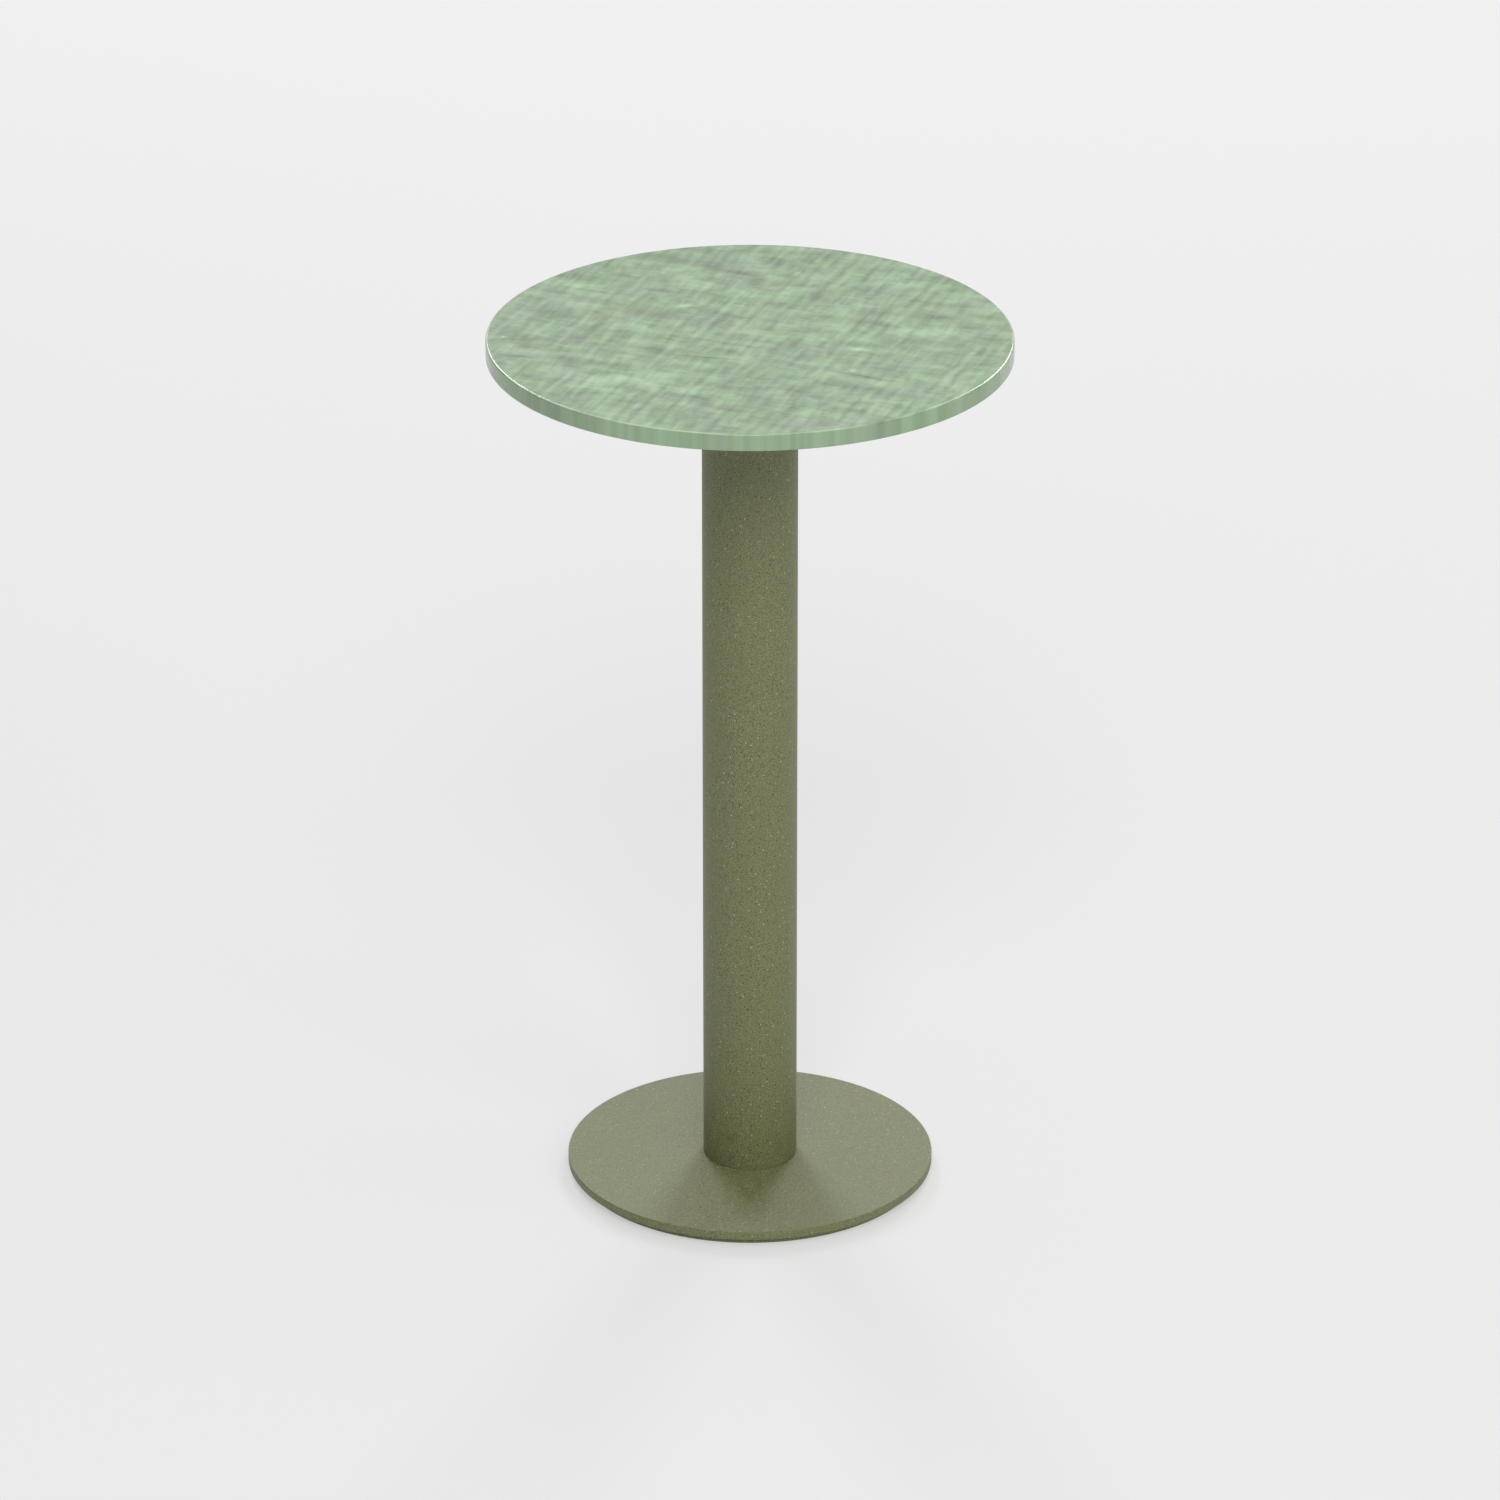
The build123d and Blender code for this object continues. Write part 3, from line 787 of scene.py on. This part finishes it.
# %% Base plinth
low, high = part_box("base_plinth")
nut_recess = 25.0 * mm
pocket_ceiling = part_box("glide_bushes")[0].z
pocket_radius = 20.0 * mm
countersink = 8.25 * mm
bm = turned([(high.x, low.z), (high.x, high.z), (high.x - support, high.z), (nut_recess, high.z),
             (nut_recess, low.z), (high.x - support, low.z)], 320)
round_edges(bm, edge_break, 3, outer_rim(high.x))
glide_pocket = turned([(0, low.z - past), (pocket_radius, low.z - past), (pocket_radius, pocket_ceiling),
                       (bush_hole, pocket_ceiling), (bush_hole, high.z + past), (0, high.z + past)],
                      64, closed=False)
screw_seat = turned([(0, low.z - past), (countersink + past, low.z - past),
                     (screw_hole, low.z + countersink - screw_hole), (screw_hole, high.z + past),
                     (0, high.z + past)], 48, closed=False)
bm = drilled(bm, ring_of(glide_pocket, glide_circle, glide_count, first_glide),
             ring_of(screw_seat, plinth_screw_circle, plinth_screw_count))
place_piece("base_plinth_disc", bm, olive_coat, "base_plinth", "table")

# %% [markdown]
# ## Threads and hexagons
#
# A real thread is a ridge that climbs as it goes round. A profile could be wound up in a screw
# modifier, but joining it to a head and a tip is hard. So the shank is turned first, with several
# rings to each turn of the thread, and then every corner on it is moved in by as much as the thread
# is deep at its angle and height. Hexagon sockets and nuts are turned too, and their corners are
# then pressed in to the six flats.

# %% Threads and hexagons
rings_per_turn = 6
thread_depth = 0.6      # share of the pitch


def shank(radius, start, end, pitch):
    """Outline points of a threaded length, with rings close enough to draw its thread."""
    count = round((end - start) / pitch * rings_per_turn)
    return [(radius, start + (end - start) * number / count) for number in range(count + 1)]


def cut_thread(bm, radius, start, end, pitch):
    """Move the corners at this radius in to a thread that fades at both ends."""
    for vert in bm.verts:
        if abs(vert.co.xy.length - radius) < close and start < vert.co.z < end:
            turn = atan2(vert.co.y, vert.co.x) / (2 * pi)
            across = (vert.co.z / pitch - turn) % 1.0
            fade = min(1.0, (vert.co.z - start) / pitch, (end - vert.co.z) / pitch)
            depth = thread_depth * pitch * abs(2 * across - 1) * fade
            vert.co.xy = vert.co.xy * (1 - depth / radius)


def cut_flats(bm, across_flats, chosen):
    """Press the chosen corners in to the flats of a hexagon that has a corner on X."""
    for vert in bm.verts:
        if chosen(vert.co):
            turn = atan2(vert.co.y, vert.co.x) % (pi / 3) - pi / 6
            flat = across_flats / 2 / cos(turn)
            if vert.co.xy.length > flat:
                vert.co.xy = vert.co.xy * (flat / vert.co.xy.length)


def socket_corner(across_flats):
    """The radius of a hexagon's corners."""
    return across_flats / 2 / cos(pi / 6)


def socket_screw(body, key, socket_depth, pitch, thread_start, end, tip, tip_depth, run_out):
    """Turn a screw whose hexagon socket opens downwards.

    Its body is the outline from the socket's mouth to the shank. Over the length of the tip it gets
    narrower by tip_depth, and the thread has faded out at run_out below the end.
    """
    mouth = body[0][1]
    radius = body[-1][0]
    corner = socket_corner(key)
    socket = [(0, mouth + socket_depth), (corner, mouth + socket_depth), (corner, mouth)]
    threaded = shank(radius, thread_start, end - tip, pitch)
    bm = turned([*socket, *body, *threaded, (radius - tip_depth, end), (0, end)], 48, closed=False)
    cut_flats(bm, key, lambda co: abs(co.xy.length - corner) < close and co.z < thread_start)
    cut_thread(bm, radius, thread_start, end - run_out, pitch)
    return bm


print("rings per turn of thread:", rings_per_turn)

# %% [markdown]
# ## Screws
#
# Six M6 button-head screws hold the plate to the top. They are driven from below with a hexagon key,
# so the socket opens downwards. The head is turned as a plain cylinder, and one wide bevel of its
# rim makes the dome.

# %% Button-head screws
low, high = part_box("top_screws")
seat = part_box("top_screw_washers")[0].z
head = 5.25 * mm
thread = 3.0 * mm
dome = 1.98 * mm
bm = socket_screw([(head, low.z), (head, seat), (thread, seat)], key=4.0 * mm, socket_depth=2.0 * mm,
                  pitch=1.0 * mm, thread_start=seat + 0.4 * mm, end=high.z, tip=0.8 * mm,
                  tip_depth=0.7 * mm, run_out=0.5 * mm)
rim = outer_rim(head)
round_edges(bm, dome, 6, lambda edge: rim(edge) and edge.verts[0].co.z < low.z + close)
place_piece("button_head_screws", ring_of(bm, top_screw_circle, top_screw_count), zinc, "top_screws",
            "table")

# %% [markdown]
# Four M8 countersunk screws hold the plinth to the base plate. The head is a cone that sinks into its
# seat until it lies flush, so its outline runs straight from the rim to the shank.

# %% Countersunk screws
low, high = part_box("plinth_screws")
head = 7.9 * mm
thread = 4.0 * mm
neck = low.z + head - thread
bm = socket_screw([(head, low.z), (thread, neck)], key=5.0 * mm, socket_depth=3.0 * mm,
                  pitch=1.25 * mm, thread_start=neck + 0.6 * mm, end=high.z, tip=1.0 * mm,
                  tip_depth=0.9 * mm, run_out=0.8 * mm)
place_piece("countersunk_screws", ring_of(bm, plinth_screw_circle, plinth_screw_count), zinc,
            "plinth_screws", "table")

# %% [markdown]
# ## Washers, nuts and the tie rod
#
# One long rod runs down inside the column, from a long nut welded under the top plate to a thin nut
# and a broad washer under the base, and clamps the whole table together. The washers are stamped
# rings, so each is a turned ring with all four edges rounded by a bevel.

# %% Washers
def washer(outer, inner, start, end, rounding):
    """A flat ring with its edges just rounded, as a stamped and tumbled washer has them."""
    bm = turned([(outer, start), (outer, end), (inner, end), (inner, start)], 64)
    round_edges(bm, rounding, 2, sharp)
    return bm


low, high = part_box("top_screw_washers")
ring = washer(7.0 * mm, 3.05 * mm, low.z, high.z, 0.2 * mm)
place_piece("screw_washers", ring_of(ring, top_screw_circle, top_screw_count), zinc,
            "top_screw_washers", "table")
low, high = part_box("tie_rod_washer")
ring = washer(high.x, rod_hole, low.z, high.z, 0.3 * mm)
place_piece("spreader_washer", ring, zinc, "tie_rod_washer", "table")

# %% [markdown]
# A nut is a hexagon whose corners are turned off to a cone, so the cone has to meet the flats in
# curves. Turning the cone first and pressing in the flats after it gives those curves by itself.

# %% Nuts
def nut(node, across_flats, inner):
    """A hexagon nut whose corners are turned off to a cone at both ends."""
    low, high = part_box(node)
    corner = socket_corner(across_flats)
    face = 0.95 * across_flats / 2      # radius of the flat ring that the cone leaves
    rise = 0.6 * (corner - face)        # height of the cone
    steps = 5
    foot = [(face + (corner - face) * n / steps, low.z + rise * n / steps) for n in range(steps + 1)]
    crown = [(radius, low.z + high.z - height) for radius, height in reversed(foot)]
    bm = turned([(inner, low.z), *foot, *crown, (inner, high.z)], 96)
    cut_flats(bm, across_flats, lambda co: co.xy.length > inner + mm)
    return bm


rod = 6.0 * mm
rod_clearance = 0.05 * mm
rod_flats = 19.2 * mm
for name, node in (("long_nut", "coupling_nut"), ("thin_nut", "tie_rod_nut")):
    place_piece(name, nut(node, rod_flats, rod + rod_clearance), zinc, node, "table")

# %% [markdown]
# The rod is almost a metre long, and only its two ends are threaded. The rings that the thread needs
# are therefore kept to the ends, and the plain middle is one long face on each side.

# %% Tie rod
low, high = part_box("tie_rod")
pitch = 1.75 * mm
threaded = 40.0 * mm
tip = 1.0 * mm
lower_thread = shank(rod, low.z + tip, low.z + threaded, pitch)
upper_thread = shank(rod, high.z - threaded, high.z - tip, pitch)
outline = [(0, low.z), (rod - tip, low.z), *lower_thread, *upper_thread, (rod - tip, high.z), (0, high.z)]
bm = turned(outline, 40, closed=False)
cut_thread(bm, rod, low.z + tip, low.z + threaded, pitch)
cut_thread(bm, rod, high.z - threaded, high.z - tip, pitch)
place_piece("threaded_tie_rod", bm, zinc, "tie_rod", "table")

# %% [markdown]
# ## Inserts and bushes
#
# Brass inserts are pressed into the board with a straight knurl that keeps them from turning. It is
# too coarse to be left to the finish, so it is made in the mesh, by moving every other line of
# corners in. The steel bushes in the base are plain rings.

# %% Inserts and bushes
low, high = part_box("top_inserts")
insert = 5.0 * mm
insert_bore = 3.05 * mm
knurl_depth = 0.25 * mm
knurl_lines = 72
bm = turned([(insert, low.z), (insert, low.z + mm), (insert, high.z - mm), (insert, high.z),
             (insert_bore, high.z), (insert_bore, low.z)], knurl_lines)
for vert in bm.verts:
    line = round(atan2(vert.co.y, vert.co.x) / (2 * pi) * knurl_lines)
    if line % 2 and abs(vert.co.xy.length - insert) < close:
        vert.co.xy = vert.co.xy * (1 - knurl_depth / insert)
place_piece("knurled_inserts", ring_of(bm, top_screw_circle, top_screw_count), brass, "top_inserts",
            "table")
low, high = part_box("glide_bushes")
ring = washer(7.0 * mm, 5.05 * mm, low.z, high.z, 0.2 * mm)
place_piece("glide_bush_rings", ring_of(ring, glide_circle, glide_count, first_glide), zinc,
            "glide_bushes", "table")

# %% [markdown]
# ## Levelling glides
#
# Each glide is a threaded stud that snaps into a moulded foot with a soft sole. A key through the
# foot turns the stud, and the foot goes up or down with it without turning. Each glide's pieces
# ride on their own bodies, so that they follow when a glide is screwed out. The four are alike, so
# one loop makes them all, and places each with a ring of one.

# %% Levelling glides
sole_radius = 15.5 * mm
sole_edge = 0.3 * mm
sole_recess = 15.55 * mm
key_hole = 4.5 * mm
pad_radius = 18.0 * mm
pad_edge = 0.8 * mm
pad_floor = 0.6 * mm        # nylon between the sole and the stud's button
pad_throat = 5.05 * mm
throat_height = 0.8 * mm
button_room = 7.05 * mm
button_radius = 7.0 * mm
button_height = 1.4 * mm
shoulder_radius = 8.0 * mm
shoulder_height = 1.0 * mm
shoulder_rise = 3.7 * mm    # from the stud's lower end to the top of its shoulder
stud = 5.0 * mm
for number in range(1, glide_count + 1):
    turn = first_glide + 360 / glide_count * (number - 1)

    low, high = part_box(f"glide_sole_{number}")
    sole_top = high.z
    bm = turned([(sole_radius, low.z), (sole_radius, high.z), (key_hole, high.z), (key_hole, low.z)], 72)
    round_edges(bm, sole_edge, 2, outer_rim(sole_radius))
    place_piece(f"glide_{number}_sole", ring_of(bm, glide_circle, 1, turn), sole_rubber,
                f"glide_sole_{number}", f"glide_{number}_foot")

    low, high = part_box(f"glide_pad_{number}")
    button_top = high.z - throat_height
    button_seat = sole_top + pad_floor
    bm = turned([(pad_radius, low.z), (pad_radius, high.z), (pad_radius - support, high.z),
                 (pad_throat, high.z), (pad_throat, button_top), (button_room, button_top),
                 (button_room, button_seat), (key_hole, button_seat), (key_hole, sole_top),
                 (sole_recess, sole_top), (sole_recess, low.z)], 72)
    round_edges(bm, pad_edge, 4, outer_rim(pad_radius))
    place_piece(f"glide_{number}_pad", ring_of(bm, glide_circle, 1, turn), nylon,
                f"glide_pad_{number}", f"glide_{number}_foot")

    low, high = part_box(f"glide_stud_{number}")
    shoulder = low.z + shoulder_rise
    body = [(button_radius, low.z), (button_radius, low.z + button_height),
            (stud, low.z + button_height), (stud, shoulder - shoulder_height),
            (shoulder_radius, shoulder - shoulder_height), (shoulder_radius, shoulder),
            (stud, shoulder)]
    bm = socket_screw(body, key=5.0 * mm, socket_depth=4.0 * mm, pitch=1.5 * mm,
                      thread_start=shoulder + 0.5 * mm, end=high.z, tip=1.0 * mm,
                      tip_depth=0.9 * mm, run_out=0.8 * mm)
    place_piece(f"glide_{number}_threaded_stud", ring_of(bm, glide_circle, 1, turn), zinc,
                f"glide_stud_{number}", f"glide_{number}_stud")

# %% [markdown]
# ## Parts that keep their CAD shape
#
# The steel plate under the top, the two spigot rings and the gasket already have their true shape,
# so only their finish changes.

# %% Finish the CAD parts
for name, finish in (("top_plate", olive_coat), ("top_spigot", olive_coat),
                     ("base_spigot", olive_coat), ("top_gasket", gasket_rubber)):
    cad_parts[name].material_slots[0].material = finish
shown_nodes = [name for name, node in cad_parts.items() if not node.hide_render]
print("kept CAD nodes:", ", ".join(sorted(shown_nodes)))
